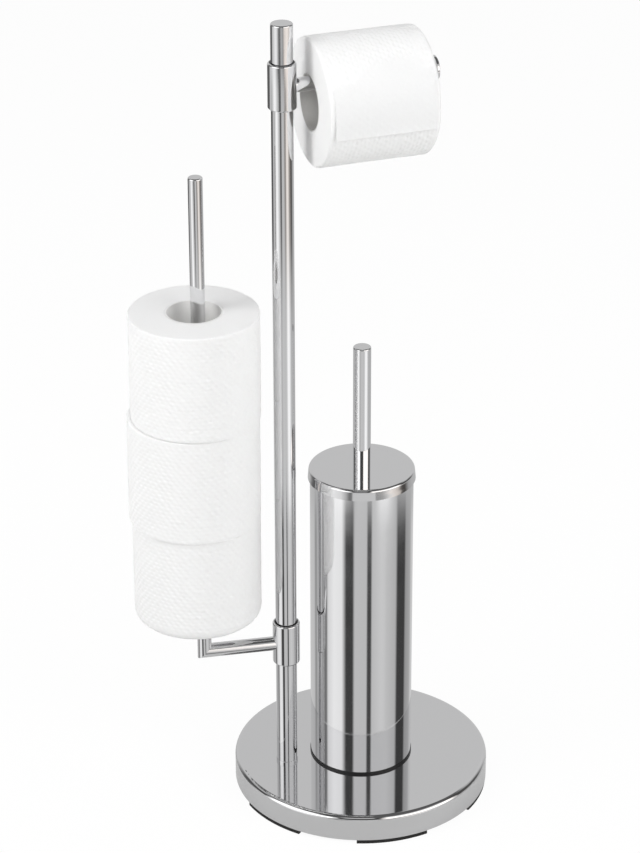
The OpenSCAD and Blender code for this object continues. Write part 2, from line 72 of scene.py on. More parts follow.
def addNode(tree, kind, settings=None, inputs=None, links=None):
    node = tree.nodes.new(kind)
    for name, value in (settings or {}).items():
        setattr(node, name, value)
    for name, value in (inputs or {}).items():
        node.inputs[name].default_value = value
    for name, socket in (links or {}).items():
        tree.links.new(socket, node.inputs[name])
    return node


# Camera. The photograph's verticals are parallel, which takes a large lens shift. Here the camera looks down
# a little instead, so that every other view keeps the stand in the frame.
cameraLook = {
    "place": (-0.6324, -2.2299, 1.5079),
    "turn": 0.2692,                      # radians round the vertical, from +Y towards +X
    "tilt": 0.4311,                      # radians below the horizon
    "roll": 0.0068,                      # radians
    "lens": 131.38,                      # mm
    "sensor": 36,                        # mm
    "shift": (0.0347, -0.1202),
    "clip": (0.1, 60),
}


def makeCamera(look):
    data = bpy.data.cameras.new("camera")
    data.sensor_width = look["sensor"]
    data.lens = look["lens"]
    data.shift_x, data.shift_y = look["shift"]
    data.clip_start, data.clip_end = look["clip"]
    turn, tilt, roll = look["turn"], look["tilt"], look["roll"]
    ahead = Vector((math.cos(tilt) * math.sin(turn), math.cos(tilt) * math.cos(turn), -math.sin(tilt)))
    right = Vector((math.cos(turn), -math.sin(turn), 0))
    down = Vector((-math.sin(tilt) * math.sin(turn), -math.sin(tilt) * math.cos(turn), -math.cos(tilt)))
    across = right * math.cos(roll) + down * math.sin(roll)
    up = right * math.sin(roll) - down * math.cos(roll)
    camera = bpy.data.objects.new("camera", data)
    axes = Matrix((across, up, -ahead)).transposed().to_4x4()
    camera.matrix_world = Matrix.Translation(look["place"]) @ axes
    scene.collection.objects.link(camera)
    scene.camera = camera
    return Vector((-ahead.x, -ahead.y, 0)).normalized(), right


toCamera, toRight = makeCamera(cameraLook)
print("camera set")

# Studio. What the steel sees is painted on the world in belts by height. A belt's cards are pairs: degrees to
# the right of the camera, and the level there.

# Near the floor: white walls, a soft box to the left, narrow black flags
floorCards = [
    (-180, 0.61), (-135, 0.61), (-126, 0.30), (-118, 0.50), (-104, 0.45), (-98, 0.20), (-87, 0.20),
    (-82, 0.80), (-66, 0.98), (-46, 0.93), (-39, 0.30), (-36, 0.058), (-21, 0.055), (-16, 0.61),
    (10, 0.60), (13, 0.07), (20, 0.07), (23, 0.60), (36, 0.66), (44, 0.70), (52, 0.68), (58, 0.62),
    (82, 0.52), (88, 0.058), (112, 0.055), (118, 0.35), (140, 0.45), (150, 0.66), (180, 0.61),
]
# Over the flags: a soft box on each side
middleCards = [
    (-180, 0.55), (-110, 0.50), (-80, 0.55), (-64, 1.15), (-48, 1.20), (-34, 0.76), (-22, 0.50), (-9, 0.66),
    (16, 0.62), (29, 0.68), (41, 1.10), (57, 1.15), (70, 0.85), (86, 0.52), (140, 0.50), (180, 0.55),
]
# Higher up: the boxes' dark frames
frameCards = [
    (-180, 0.12), (-118, 0.12), (-107, 0.68), (-90, 0.48), (-80, 0.66), (-66, 1.12), (-54, 1.10),
    (-40, 0.72), (-30, 0.60), (-23, 0.12), (-12, 0.12), (-6, 0.61), (12, 0.61), (22, 0.32), (30, 0.34),
    (40, 0.95), (54, 1.00), (64, 0.60), (72, 0.32), (82, 0.30), (90, 0.08), (102, 0.08), (116, 0.42),
    (150, 0.58), (180, 0.61),
]
# Higher still, seen by the post's top: the frames end and the boxes reach across
reachCards = [
    (-180, 0.12), (-118, 0.12), (-106, 0.68), (-92, 0.72), (-76, 0.94), (-62, 0.99), (-52, 0.90),
    (-44, 0.60), (-36, 0.36), (-28, 0.12), (-22, 0.11), (-14, 0.27), (-4, 0.46), (4, 0.36), (14, 0.30),
    (20, 0.60), (25, 0.94), (36, 1.04), (58, 1.12), (70, 0.88), (82, 0.74), (96, 0.70), (106, 0.52),
    (116, 0.47), (134, 0.55), (154, 0.61), (180, 0.61),
]
# The range that only the lid's flared skirt and the rounded edges see
skirtCards = [
    (-180, 0.61), (-140, 0.50), (-128, 0.18), (-112, 0.18), (-100, 0.60), (-88, 0.84), (-68, 0.96),
    (-45, 0.84), (-34, 0.50), (-27, 0.20), (-22, 0.22), (-19, 0.66), (26, 0.66), (29, 0.34), (42, 0.38),
    (58, 0.72), (75, 0.90), (90, 0.70), (100, 0.50), (126, 0.50), (150, 0.58), (180, 0.61),
]
# About the horizon and over it: the bright parts of two boxes, black behind the camera and beside them
boxCards = [
    (-180, 0.62), (-140, 0.62), (-120, 0.10), (-90, 0.08), (-80, 1.70), (-28, 1.70), (-19, 0.06),
    (15, 0.06), (22, 1.70), (80, 1.70), (90, 0.08), (120, 0.10), (140, 0.62), (180, 0.62),
]
# Over the boxes: the walls again
wallCards = [
    (-180, 0.61), (-135, 0.61), (-126, 0.34), (-118, 0.55), (-104, 0.50), (-98, 0.22), (-87, 0.22),
    (-82, 0.90), (-66, 1.10), (-46, 1.04), (-39, 0.33), (-36, 0.06), (-21, 0.06), (-16, 0.69),
    (10, 0.68), (13, 0.08), (20, 0.08), (23, 0.68), (58, 0.70), (82, 0.58), (88, 0.06), (112, 0.06),
    (118, 0.40), (140, 0.50), (150, 0.66), (180, 0.61),
]
ceilingCards = [(-180, 0.11), (180, 0.11)]

# Each belt but the first begins softly between two sines of the elevation. Its cards on the right may be a
# little warm, which is the share of blue they lack. Only the first mirror sees the boxes' lower part, or the
# plate's edge would show as a white arc low on the holder.
studio = {
    "paper": "#FFFFFF",                  # what the camera sees behind the stand
    "fillLevel": 0.32,                   # the world's light on matt surfaces, from all round
    "cardScale": 2.0,                    # a ramp holds the levels divided by this, to stay under 1
    "warmSide": (15, 115),               # degrees between which a card may be warm
    "warmGreen": 0.55,                   # the share of green a warm card lacks, against the blue
    "firstMirror": 1.5,                  # a ray below this glossy depth has met one mirror only
    "belts": [
        {"cards": floorCards},
        {"starts": (-0.478, -0.462), "cards": middleCards},
        {"starts": (-0.420, -0.385), "warm": 0.12, "cards": frameCards},
        {"starts": (-0.350, -0.342), "warm": 0.15, "cards": reachCards},
        {"starts": (-0.328, -0.320), "cards": skirtCards},
        {"starts": (-0.20, -0.02), "warm": 0.08, "firstOnly": True, "cards": boxCards},
        {"starts": (0.36, 0.39), "warm": 0.08, "cards": boxCards},
        {"starts": (0.475, 0.500), "cards": wallCards},
        {"starts": (0.68, 0.76), "cards": ceilingCards},
    ],
}


def paintCards(tree, belt, look, turn):
    # A ramp right round the stand, with one stop for each card of the belt
    ramp = addNode(tree, "ShaderNodeValToRGB", None, None, {"Fac": turn})
    stops = ramp.color_ramp.elements
    warmFrom, warmTo = look["warmSide"]
    for i, (degrees, level) in enumerate(belt["cards"]):
        at = (degrees + 180) / 360
        stop = stops[i] if i < 2 else stops.new(at)          # a new ramp has two stops
        stop.position = at
        warm = belt.get("warm", 0) if warmFrom < degrees < warmTo else 0
        held = level / look["cardScale"]
        stop.color = (held, held * (1 - warm * look["warmGreen"]), held * (1 - warm), 1)
    return ramp.outputs["Color"]


def makeWorld(look):
    world = bpy.data.worlds.new("studio")
    world.use_nodes = True
    scene.world = world
    tree = world.node_tree
    tree.nodes.clear()
    place = addNode(tree, "ShaderNodeTexCoord")
    way = place.outputs["Generated"]
    front = addNode(tree, "ShaderNodeVectorMath", {"operation": "DOT_PRODUCT"}, {1: toCamera}, {0: way})
    side = addNode(tree, "ShaderNodeVectorMath", {"operation": "DOT_PRODUCT"}, {1: toRight}, {0: way})
    angle = addNode(tree, "ShaderNodeMath", {"operation": "ARCTAN2"}, None,
                    {0: side.outputs["Value"], 1: front.outputs["Value"]})
    turn = addNode(tree, "ShaderNodeMapRange", None, {"From Min": -math.pi, "From Max": math.pi},
                   {"Value": angle.outputs["Value"]})
    up = addNode(tree, "ShaderNodeSeparateXYZ", None, None, {"Vector": way})
    ray = addNode(tree, "ShaderNodeLightPath")
    first = addNode(tree, "ShaderNodeMath", {"operation": "LESS_THAN"}, {1: look["firstMirror"]},
                    {0: ray.outputs["Glossy Depth"]})
    seen = paintCards(tree, look["belts"][0], look, turn.outputs["Result"])
    for belt in look["belts"][1:]:
        cards = paintCards(tree, belt, look, turn.outputs["Result"])
        start, end = belt["starts"]
        share = addNode(tree, "ShaderNodeMapRange", {"interpolation_type": "SMOOTHSTEP"},
                        {"From Min": start, "From Max": end}, {"Value": up.outputs["Z"]})
        factor = share.outputs["Result"]
        if belt.get("firstOnly"):
            both = addNode(tree, "ShaderNodeMath", {"operation": "MULTIPLY"}, None,
                           {0: factor, 1: first.outputs["Value"]})
            factor = both.outputs["Value"]
        mix = addNode(tree, "ShaderNodeMix", {"data_type": "RGBA"}, None,
                      {"Factor": factor, "A": seen, "B": cards})
        seen = mix.outputs["Result"]
    paper = toLinear(look["paper"])
    reflected = addNode(tree, "ShaderNodeBackground", None, {"Strength": look["cardScale"]}, {"Color": seen})
    lit = addNode(tree, "ShaderNodeBackground", None, {"Color": paper, "Strength": look["fillLevel"]})
    shown = addNode(tree, "ShaderNodeBackground", None, {"Color": paper, "Strength": 1.0})
    glossy = addNode(tree, "ShaderNodeMixShader", None, None,
                     {"Fac": ray.outputs["Is Glossy Ray"],
                      1: lit.outputs["Background"], 2: reflected.outputs["Background"]})
    clear = addNode(tree, "ShaderNodeMath", {"operation": "MAXIMUM"}, None,
                    {0: ray.outputs["Is Camera Ray"], 1: ray.outputs["Is Transmission Ray"]})
    final = addNode(tree, "ShaderNodeMixShader", None, None,
                    {"Fac": clear.outputs["Value"],
                     1: glossy.outputs["Shader"], 2: shown.outputs["Background"]})
    addNode(tree, "ShaderNodeOutputWorld", None, None, {"Surface": final.outputs["Shader"]})


makeWorld(studio)

# Soft boxes that light the matt pieces. Each hangs so many degrees to the right of the camera
lamps = {
    "leftBox": {"degrees": -68, "away": 2.0, "height": 1.15, "size": (0.9, 1.6), "watts": 13.5},
    "highLeftBox": {"degrees": -60, "away": 1.3, "height": 2.1, "size": (1.4, 1.4), "watts": 15.5},
    "frontBox": {"degrees": -5, "away": 2.3, "height": 1.9, "size": (1.2, 0.8), "watts": 9.5},
    "rightBox": {"degrees": 50, "away": 2.0, "height": 1.25, "size": (1.3, 1.6), "watts": 19},
    "farRightBox": {"degrees": 95, "away": 2.0, "height": 1.0, "size": (1.0, 1.6), "watts": 6},
    "ceilingBox": {"degrees": -90, "away": 0.6, "height": 4.0, "size": (3.0, 3.0), "watts": 8},
}


def hangLamp(name, lamp):
    data = bpy.data.lights.new(name, "AREA")
    data.shape = "RECTANGLE"
    data.size, data.size_y = lamp["size"]
    data.energy = lamp["watts"]
    middle = (cadBox[0] + cadBox[1]) / 2
    swing = math.radians(lamp["degrees"])
    spot = middle + (toCamera * math.cos(swing) + toRight * math.sin(swing)) * lamp["away"]
    spot.z = lamp["height"]
    facing = (middle - spot).to_track_quat("-Z", "Y").to_matrix().to_4x4()
    light = bpy.data.objects.new(name, data)
    light.matrix_world = Matrix.Translation(spot) @ facing
    light.visible_glossy = False         # the steel sees the cards, not the lamps
    scene.collection.objects.link(light)


for name, lamp in lamps.items():
    hangLamp(name, lamp)

floorLook = {
    "radius": 6.0,
    "around": 96,
    "colour": "#F2F2F1",
    "roughness": 0.9,
    "shown": 0.95,                       # share of plain white in what the camera sees
    "nearRadius": 0.145,                 # the round that the plate's rim reflects
    "nearLevel": 0.52,                   # its grey, as the steel sees it
    "mirrored": 0.7,                     # and the share of that grey in a reflection
}


def floorRing(name, inner, outer, centre, around):
    bm = bmesh.new()
    bmesh.ops.create_circle(bm, cap_ends=inner == 0, segments=around, radius=outer)
    if inner:
        bmesh.ops.create_circle(bm, cap_ends=False, segments=around, radius=inner)
        bmesh.ops.bridge_loops(bm, edges=list(bm.edges))
    bmesh.ops.recalc_face_normals(bm, faces=list(bm.faces))
    if bm.faces[:][0].normal.z < 0:
        bmesh.ops.reverse_faces(bm, faces=list(bm.faces))
    bmesh.ops.translate(bm, verts=list(bm.verts), vec=(centre.x, centre.y, 0))
    mesh = bpy.data.meshes.new(name)
    bm.to_mesh(mesh)
    bm.free()
    ring = bpy.data.objects.new(name, mesh)
    scene.collection.objects.link(ring)
    return ring


def paperSweep(look):
    # Seamless paper: even, no gloss
    material = bpy.data.materials.new("paper sweep, matt")
    material.use_nodes = True
    tree = material.node_tree
    tree.nodes.clear()
    matt = addNode(tree, "ShaderNodeBsdfDiffuse", None,
                   {"Color": toLinear(look["colour"]), "Roughness": look["roughness"]})
    white = addNode(tree, "ShaderNodeEmission", None, {"Color": (1, 1, 1, 1), "Strength": 1.0})
    grey = addNode(tree, "ShaderNodeEmission", None, {"Color": (1, 1, 1, 1), "Strength": look["nearLevel"]})
    ray = addNode(tree, "ShaderNodeLightPath")
    shown = addNode(tree, "ShaderNodeMath", {"operation": "MULTIPLY"}, {1: look["shown"]},
                    {0: ray.outputs["Is Camera Ray"]})
    lit = addNode(tree, "ShaderNodeMixShader", None, None,
                  {"Fac": shown.outputs["Value"], 1: matt.outputs["BSDF"], 2: white.outputs["Emission"]})
    mirrored = addNode(tree, "ShaderNodeMath", {"operation": "MULTIPLY"}, {1: look["mirrored"]},
                       {0: ray.outputs["Is Glossy Ray"]})
    mix = addNode(tree, "ShaderNodeMixShader", None, None,
                  {"Fac": mirrored.outputs["Value"], 1: lit.outputs["Shader"], 2: grey.outputs["Emission"]})
    addNode(tree, "ShaderNodeOutputMaterial", None, None, {"Surface": mix.outputs["Shader"]})
    return material


def makeFloor(look):
    # The near round is what the plate's rim reflects; the upright steel sees the cards down to its foot
    low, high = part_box("base_cover")
    centre = (low + high) / 2
    near = floorRing("floorNear", 0, look["nearRadius"], centre, look["around"])
    far = floorRing("floorFar", look["nearRadius"], look["radius"], centre, look["around"])
    far.visible_glossy = False
    material = paperSweep(look)
    for ring in (near, far):
        ring.data.materials.append(material)


makeFloor(floorLook)
print("studio set")


# Materials. Each starts from one shader, and its patterns read Object coordinates
def startMaterial(name, colour, metallic, roughness, ior=None):
    material = bpy.data.materials.new(name)
    material.use_nodes = True
    tree = material.node_tree
    tree.nodes.clear()
    shader = addNode(tree, "ShaderNodeBsdfPrincipled", None,
                     {"Base Color": toLinear(colour), "Metallic": metallic, "Roughness": roughness})
    if ior:
        shader.inputs["IOR"].default_value = ior
    addNode(tree, "ShaderNodeOutputMaterial", None, None, {"Surface": shader.outputs["BSDF"]})
    place = addNode(tree, "ShaderNodeTexCoord")
    return material, tree, shader, place.outputs["Object"]


def cloudColour(tree, shader, look, pattern):
    # The surface drifts between the look's two colours
    tone = addNode(tree, "ShaderNodeMix", {"data_type": "RGBA"},
                   {"A": toLinear(look["colour"]), "B": toLinear(look["shade"])},
                   {"Factor": pattern.outputs["Fac"]})
    tree.links.new(tone.outputs["Result"], shader.inputs["Base Color"])


def roughenSurface(tree, shader, pattern, strength, depth):
    bump = addNode(tree, "ShaderNodeBump", None, {"Strength": strength, "Distance": depth},
                   {"Height": pattern.outputs["Fac"]})
    tree.links.new(bump.outputs["Normal"], shader.inputs["Normal"])
    return bump


# Stainless steel, tube and sheet, ground and buffed to a mirror: grey, sharp reflections, a trace of haze
steelLook = {
    "colour": "#E7E7E8",
    "roughness": (0.04, 0.07),
    "hazeSize": 0.030,                   # patches left by the buffing wheel
    "hazeSpan": (0.35, 0.65),            # the part of the pattern that makes the change
    "waveSize": 0.018,                   # rolled sheet is never quite flat
    "waveDepth": 0.000004,
    "strength": 1.0,
}


def polishedSteel(look):
    smoothest, haziest = look["roughness"]
    name = "stainless steel, mirror polished"
    material, tree, shader, place = startMaterial(name, look["colour"], 1.0, smoothest)
    haze = addNode(tree, "ShaderNodeTexNoise", None, {"Scale": 1 / look["hazeSize"], "Detail": 3.0},
                   {"Vector": place})
    rough = addNode(tree, "ShaderNodeMapRange", None,
                    {"From Min": look["hazeSpan"][0], "From Max": look["hazeSpan"][1],
                     "To Min": smoothest, "To Max": haziest},
                    {"Value": haze.outputs["Fac"]})
    tree.links.new(rough.outputs["Result"], shader.inputs["Roughness"])
    wave = addNode(tree, "ShaderNodeTexNoise", None, {"Scale": 1 / look["waveSize"], "Detail": 1.0},
                   {"Vector": place})
    roughenSurface(tree, shader, wave, look["strength"], look["waveDepth"])
    return material


# Zinc plated steel, turned: dull grey with fine tool marks
zincLook = {"colour": "#A9ABAD", "roughness": 0.34, "grain": 0.0004, "depth": 0.00003, "strength": 0.4}


def zincSteel(look):
    name = "zinc plated steel, turned"
    material, tree, shader, place = startMaterial(name, look["colour"], 1.0, look["roughness"])
    grain = addNode(tree, "ShaderNodeTexNoise", None, {"Scale": 1 / look["grain"], "Detail": 2.0},
                    {"Vector": place})
    roughenSurface(tree, shader, grain, look["strength"], look["depth"])
    return material


# Nylon, moulded: the bushes, the holder's foot pad and the plate's underside. Near black with a soft gloss
blackPlasticLook = {"colour": "#131314", "shade": "#1B1B1C", "roughness": 0.42, "ior": 1.50,
                    "cloudSize": 0.02, "grain": 0.0006, "depth": 0.00005, "strength": 0.4}
# Rubber, moulded: the feet. Black and dull, greyer where it has picked up dust
rubberLook = {"colour": "#161616", "shade": "#262524", "roughness": 0.82, "ior": 1.52,
              "cloudSize": 0.008, "grain": 0.0005, "depth": 0.00008, "strength": 0.6}
# Cast iron, painted: the weight inside the plate. Dark, dull and pitted
ironLook = {"colour": "#2B2B2A", "shade": "#3A3836", "roughness": 0.75, "ior": 1.50,
            "cloudSize": 0.012, "grain": 0.0012, "depth": 0.0002, "strength": 0.8}
# Polypropylene, moulded: the liner, the lid's ring and the brush's stem. Milky white with a low gloss
whitePlasticLook = {"colour": "#E6E5E0", "shade": "#DEDCD5", "roughness": 0.36, "ior": 1.49,
                    "cloudSize": 0.03, "grain": 0.0008, "depth": 0.00004, "strength": 0.3}
# Polypropylene filament: the bristles. White and dull
bristleLook = {"colour": "#EFEEEA", "shade": "#DBDAD3", "roughness": 0.5, "ior": 1.49,
               "cloudSize": 0.004, "grain": 0.0010, "depth": 0.00005, "strength": 0.3}
# Brass, turned: the threaded insert inside the post's foot. Yellow, with a dull shine
brassLook = {"colour": "#B08D4A", "shade": "#A07F42", "roughness": 0.32, "metallic": 1.0,
             "cloudSize": 0.006, "grain": 0.0005, "depth": 0.00003, "strength": 0.4}


def grainedMaterial(name, look):
    # One colour, cloudy by a few percent, over a fine grain
    metallic, ior = look.get("metallic", 0.0), look.get("ior")
    material, tree, shader, place = startMaterial(name, look["colour"], metallic, look["roughness"], ior)
    cloud = addNode(tree, "ShaderNodeTexNoise", None, {"Scale": 1 / look["cloudSize"], "Detail": 4.0},
                    {"Vector": place})
    cloudColour(tree, shader, look, cloud)
    grain = addNode(tree, "ShaderNodeTexNoise", None, {"Scale": 1 / look["grain"], "Detail": 2.0},
                    {"Vector": place})
    roughenSurface(tree, shader, grain, look["strength"], look["depth"])
    return material


# Tissue, soft two ply, wound: white, no gloss, short fibres, and the cut layers as fine rings on the ends
tissueLook = {
    "colour": "#F6F6F6",
    "shade": "#EFEFEF",
    "roughness": 1.0,
    "ior": 1.45,
    "gloss": 0.15,
    "fibre": 0.0007,                     # fibres are 0.02 mm thick; drawn as clumps of 0.7 mm, to show
    "fibreDepth": 0.00012,
    "fibreStrength": 0.6,
    "layer": 0.0009,                     # layers are 0.25 mm thick; drawn in groups, to show
    "layerDepth": 0.00010,
    "layerStrength": 0.5,
    "drift": 1 / 90,                     # the rings wander over about 11 mm
    "driftTurn": 14.0,                   # and by this many radians
    "glow": 0.25,
    "glowDepth": 0.0015,
    "glowColours": (1.0, 0.98, 0.96),    # red goes a little deeper than blue
}


def tissuePaper(look):
    name = "tissue paper, embossed"
    material, tree, shader, place = startMaterial(name, look["colour"], 0.0, look["roughness"], look["ior"])
    shader.inputs["Subsurface Weight"].default_value = look["glow"]
    shader.inputs["Subsurface Radius"].default_value = look["glowColours"]
    shader.inputs["Subsurface Scale"].default_value = look["glowDepth"]
    shader.inputs["Specular IOR Level"].default_value = look["gloss"]
    fibre = addNode(tree, "ShaderNodeTexNoise", None,
                    {"Scale": 1 / look["fibre"], "Detail": 3.0, "Roughness": 0.6}, {"Vector": place})
    cloudColour(tree, shader, look, fibre)
    wound = addNode(tree, "ShaderNodeAttribute", {"attribute_name": "woundRadius"})
    turns = addNode(tree, "ShaderNodeMath", {"operation": "MULTIPLY"}, {1: 2 * math.pi / look["layer"]},
                    {0: wound.outputs["Fac"]})
    drift = addNode(tree, "ShaderNodeTexNoise", None, {"Scale": 1 / look["drift"], "Detail": 2.0},
                    {"Vector": place})
    loose = addNode(tree, "ShaderNodeMath", {"operation": "MULTIPLY_ADD"}, {1: look["driftTurn"]},
                    {0: drift.outputs["Fac"], 2: turns.outputs["Value"]})
    rings = addNode(tree, "ShaderNodeMath", {"operation": "SINE"}, None, {0: loose.outputs["Value"]})
    layers = addNode(tree, "ShaderNodeBump", None,
                     {"Strength": look["layerStrength"], "Distance": look["layerDepth"]},
                     {"Height": rings.outputs["Value"]})
    bump = roughenSurface(tree, shader, fibre, look["fibreStrength"], look["fibreDepth"])
    tree.links.new(layers.outputs["Normal"], bump.inputs["Normal"])
    return material


# Core board, chipboard wound in a spiral, dull. One board in two copies: lightened to near white as painted
# light inside the spare rolls' cores, and greyer as painted shade inside the hanging roll's core
lightenedBoardLook = {"colour": "#FBFBFA", "shade": "#F3F2F0", "roughness": 0.9, "ior": 1.45,
             "fibre": 0.0012, "depth": 0.00008, "strength": 0.5}
shadedBoardLook = dict(lightenedBoardLook, colour="#D8D7D5", shade="#CBCAC7")


def coreBoard(name, look):
    material, tree, shader, place = startMaterial(name, look["colour"], 0.0, look["roughness"], look["ior"])
    fibre = addNode(tree, "ShaderNodeTexNoise", None,
                    {"Scale": 1 / look["fibre"], "Detail": 4.0, "Roughness": 0.65}, {"Vector": place})
    cloudColour(tree, shader, look, fibre)
    roughenSurface(tree, shader, fibre, look["strength"], look["depth"])
    return material


tissue = tissuePaper(tissueLook)
bristlePlastic = grainedMaterial("polypropylene filament, white", bristleLook)
# the greyer copy of the board is painted shade, for the hanging roll's core
shadedBoard = coreBoard("core board, painted shade", shadedBoardLook)
slotFinish = {
    "polished_steel": polishedSteel(steelLook),
    "zinc_steel": zincSteel(zincLook),
    "black_plastic": grainedMaterial("nylon, moulded black", blackPlasticLook),
    "black_rubber": grainedMaterial("rubber, moulded black", rubberLook),
    "cast_iron": grainedMaterial("cast iron, painted", ironLook),
    "white_plastic": grainedMaterial("polypropylene, moulded white", whitePlasticLook),
    "bristle_plastic": bristlePlastic,
    "brass": grainedMaterial("brass, turned", brassLook),
    "tissue": tissue,
    # the near-white copy of the board is painted light, for the spare rolls' cores
    "core_board": coreBoard("core board, painted light", lightenedBoardLook),
}
for name, node in nodes.items():
    slot = node.data.materials[0].name.split(".")[0]
    node.data.materials.clear()
    node.data.materials.append(shadedBoard if name == "paper_roll_core" else slotFinish[slot])
print("materials made and put on", len(nodes), "carried-over nodes")


def finishPiece(name, bm, material, body):
    mesh = bpy.data.meshes.new(name)
    bm.to_mesh(mesh)
    bm.free()
    for face in mesh.polygons:
        face.use_smooth = True
    mesh.materials.append(material)
    piece = bpy.data.objects.new(name, mesh)
    scene.collection.objects.link(piece)
    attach(piece, body)
    return piece


# Paper rolls
rollShape = {
    "bore": 0.02332,                     # outside of the core
    "edges": (0.0014, 0.0014),           # the soft edges of the lower and the upper end
    "edgeSteps": 6,
    "rows": 122,                         # rows of points up the side
    "around": 432,                       # a number that four divides
    "endRings": 16,
    "dentPitch": 0.0058,                 # embossed dots, staggered from row to row
    "rowPitch": 0.0035,
    "dentWidth": (0.0018, 0.00125),      # along and across the rows
    "dentDepth": 0.00064,
    "dentStray": 0.30,                   # how loosely the dots keep their places, as a share of the pitch
    "dentPress": (0.6, 1.0),             # the winding presses some dots flatter than others
    "edgeDents": 0.5,                    # how much of the embossing goes on over the soft edges
    "layer": 0.00035,                    # step at the outer layer's glued end
    "sway": 0.00035,                     # how far the side is from a true cylinder
    "endSway": 0.0005,                   # how far an end is from flat
    "endSlow": 0.5,                      # the swell is slower across an end than up the side
    "endFade": 1.05,                     # it dies out just inside the rim
    "endSink": 0.00005,                  # an end is this much lower at its rim
    "endSeed": 50,                       # added to the roll's seed for its ends
    "same": 1e-6,                        # two lengths this close are one
    "weld": 2e-6,                        # points this close are merged
    "sideBand": 1e-5,                    # points this near the radius lie on the side
    "boreBand": 1e-4,                    # points this near the bore stay on the core
}
# Swells of a roll's surface: times round, radians per metre, share
rollSwells = ((1, 9, 0.5), (2, 24, 0.35), (3, 41, 0.3), (5, 60, 0.2), (8, 95, 0.15))
# Uneven factors that scatter the dots without a pattern, but in the same way each time
scatter = {"step": 12.99, "row": 78.23, "spread": 4375.85, "second": 57.31, "third": 91.7}


def softNoise(turn, height, seed):
    # A slow, seamless swell round the roll: a few sines whose phases come from the seed
    rng = np.random.default_rng(seed)
    total = np.zeros_like(turn)
    for around, upDown, share in rollSwells:
        first, second = rng.uniform(0, 2 * math.pi, 2)
        total += share * np.sin(around * turn + first) * np.cos(upDown * height + second)
    return total


def dentDepth(u, v, look, girth, seed):
    # Embossed dots on a staggered lattice: each point feels the nearest dot of the rows below and above it
    count = round(girth / look["dentPitch"])
    pitch, rowPitch = girth / count, look["rowPitch"]
    wide, high = look["dentWidth"]
    flattest, fullest = look["dentPress"]
    low = np.floor(v / rowPitch)
    deep = np.zeros_like(u)
    for row in (low, low + 1):
        stagger = 0.5 * np.mod(row, 2)
        place = np.round(u / pitch - stagger) + stagger
        step = np.mod(place, count)
        mixed = np.sin(step * scatter["step"] + row * scatter["row"] + seed)
        chance = np.mod(mixed * scatter["spread"], 1)
        strayU = look["dentStray"] * pitch * (chance - 0.5)
        strayV = look["dentStray"] * rowPitch * (np.mod(chance * scatter["second"], 1) - 0.5)
        far = ((u - place * pitch - strayU) / wide) ** 2 + ((v - row * rowPitch - strayV) / high) ** 2
        press = flattest + (fullest - flattest) * np.mod(chance * scatter["third"], 1)
        deep = np.maximum(deep, press * np.exp(-far))
    return deep * look["dentDepth"]


def readPoints(mesh):
    points = np.zeros(len(mesh.vertices) * 3)
    mesh.vertices.foreach_get("co", points)
    return points.reshape(-1, 3)


def writePoints(mesh, points, axes, wound):
    turned = points @ np.array(axes.to_3x3()).T + np.array(axes.translation)
    mesh.vertices.foreach_set("co", turned.ravel())
    mesh.attributes.new("woundRadius", "FLOAT", "POINT").data.foreach_set("value", wound)
    mesh.update()


def spinRoll(radius, height, look):
    # The plain roll: a corner profile with soft outer edges, spun a quarter turn and repeated four times
    bm = bmesh.new()
    half, bore, same = height / 2, look["bore"], look["same"]
    profile = ((bore, 0, -half), (radius, 0, -half), (radius, 0, half), (bore, 0, half))
    corners = [bm.verts.new(p) for p in profile]
    for i in range(4):
        bm.edges.new((corners[i], corners[(i + 1) % 4]))
    for corner, edge in zip(corners[1:3], look["edges"]):
        bmesh.ops.bevel(bm, geom=[corner], offset=edge, offset_type="OFFSET", segments=look["edgeSteps"],
                        profile=0.5, affect="VERTICES", material=-1)
    side = [e for e in bm.edges if all(abs(v.co.x - radius) < same for v in e.verts)]
    bmesh.ops.subdivide_edges(bm, edges=side, cuts=look["rows"])
    level = [e for e in bm.edges if abs(e.verts[0].co.z - e.verts[1].co.z) < same]
    ends = [e for e in level if e.calc_length() > look["bore"] / 2]      # not the short ones of the edges
    bmesh.ops.subdivide_edges(bm, edges=ends, cuts=look["endRings"])
    bmesh.ops.spin(bm, geom=list(bm.verts) + list(bm.edges), cent=(0, 0, 0), axis=(0, 0, 1),
                   angle=math.pi / 2, steps=look["around"] // 4)
    for turn in (math.pi / 2, math.pi):
        copied = bmesh.ops.duplicate(bm, geom=list(bm.faces))["geom"]
        copied = [v for v in copied if isinstance(v, bmesh.types.BMVert)]
        bmesh.ops.rotate(bm, verts=copied, cent=(0, 0, 0), matrix=Matrix.Rotation(turn, 3, "Z"))
    bmesh.ops.remove_doubles(bm, verts=list(bm.verts), dist=look["weld"])
    bmesh.ops.recalc_face_normals(bm, faces=list(bm.faces))
    return bm


